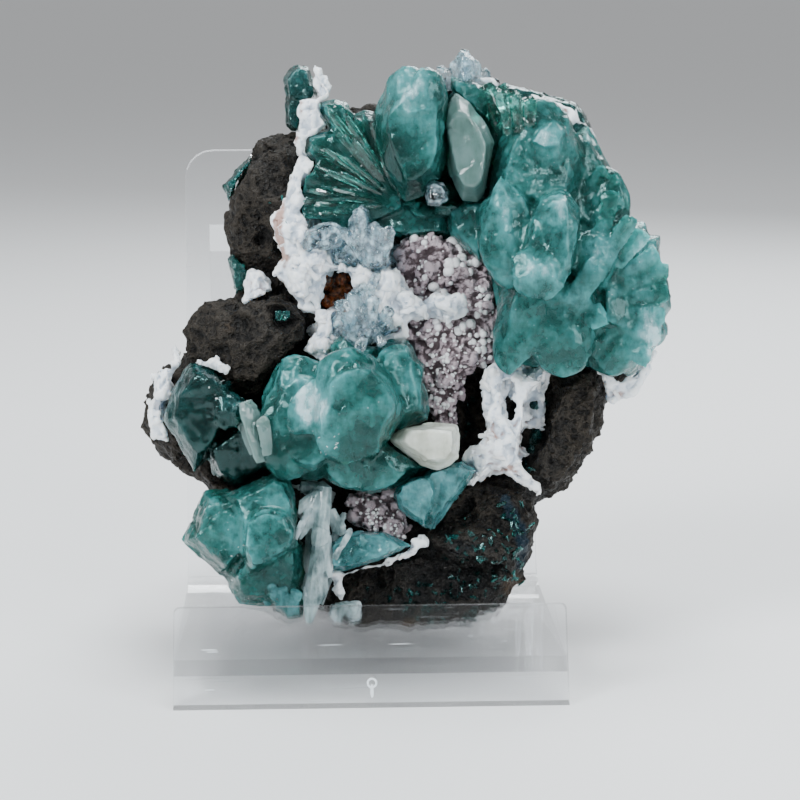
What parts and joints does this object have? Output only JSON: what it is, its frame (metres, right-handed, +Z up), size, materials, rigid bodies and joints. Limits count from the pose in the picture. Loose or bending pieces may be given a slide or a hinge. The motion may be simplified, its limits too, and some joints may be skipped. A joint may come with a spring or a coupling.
{
  "type": "mineral specimen",
  "caption": "Cluster of translucent green apophyllite crystals with white chalcedony and stilbite on dark basalt, leaning back on a clear plastic easel.",
  "frame": {"origin": "middle of the front panel's foot, on the table", "axes": "+X to the right and +Y away from a viewer in front of the specimen, +Z up"},
  "size_m": [0.1481, 0.145, 0.1643],
  "materials": {
    "green_crystal": "glassy, translucent teal green with milky veils",
    "pale_crystal": "glassy, translucent pale teal",
    "dark_crystal": "glassy, translucent deep teal",
    "clear_crystal": "glassy, nearly colourless",
    "stilbite": "pearly, translucent cream",
    "chalcedony": "dull white to waxy, pink-tan in thin edges",
    "druse": "glittering mauve-grey with white beads",
    "basalt": "rough, dull",
    "acrylic": "clear, polished"
  },
  "bodies": {
    "root": {"apophyllite_rosette": "green_crystal", "apophyllite_centre_left": "green_crystal", "apophyllite_bottom_left": "green_crystal", "apophyllite_upper_left": "green_crystal", "apophyllite_upper_left_2": "green_crystal", "apophyllite_small_clear": "pale_crystal", "apophyllite_pale_pair": "pale_crystal", "apophyllite_slab": "pale_crystal", "apophyllite_left_fan": "dark_crystal", "apophyllite_back_left": "dark_crystal", "apophyllite_back_ridge": "dark_crystal", "apophyllite_left_top": "dark_crystal", "apophyllite_left_low": "dark_crystal", "apophyllite_in_vesicle": "dark_crystal", "apophyllite_clear_tip": "clear_crystal", "clear_crystals_upper": "clear_crystal", "clear_crystals_lower": "clear_crystal", "stilbite_hanging_bits": "clear_crystal", "stilbite_blade": "stilbite", "stilbite_point": "stilbite", "stilbite_sheaf": "stilbite", "stilbite_sheaf_2": "stilbite", "chalcedony_upper_left": "chalcedony", "chalcedony_upper_left_2": "chalcedony", "chalcedony_centre": "chalcedony", "chalcedony_centre_2": "chalcedony", "chalcedony_centre_3": "chalcedony", "chalcedony_right": "chalcedony", "chalcedony_left_edge": "chalcedony", "chalcedony_left_patch": "chalcedony", "chalcedony_left_middle": "chalcedony", "chalcedony_top_rim": "chalcedony", "chalcedony_right_patch": "chalcedony", "chalcedony_right_rim": "chalcedony", "chalcedony_bottom_rim": "chalcedony", "druse_middle": "druse", "druse_low": "druse", "basalt_matrix": "basalt", "stand_front_panel": "acrylic", "stand_bent_sheet": "acrylic", "stand_leg": "acrylic"}
  },
  "joints": []
}
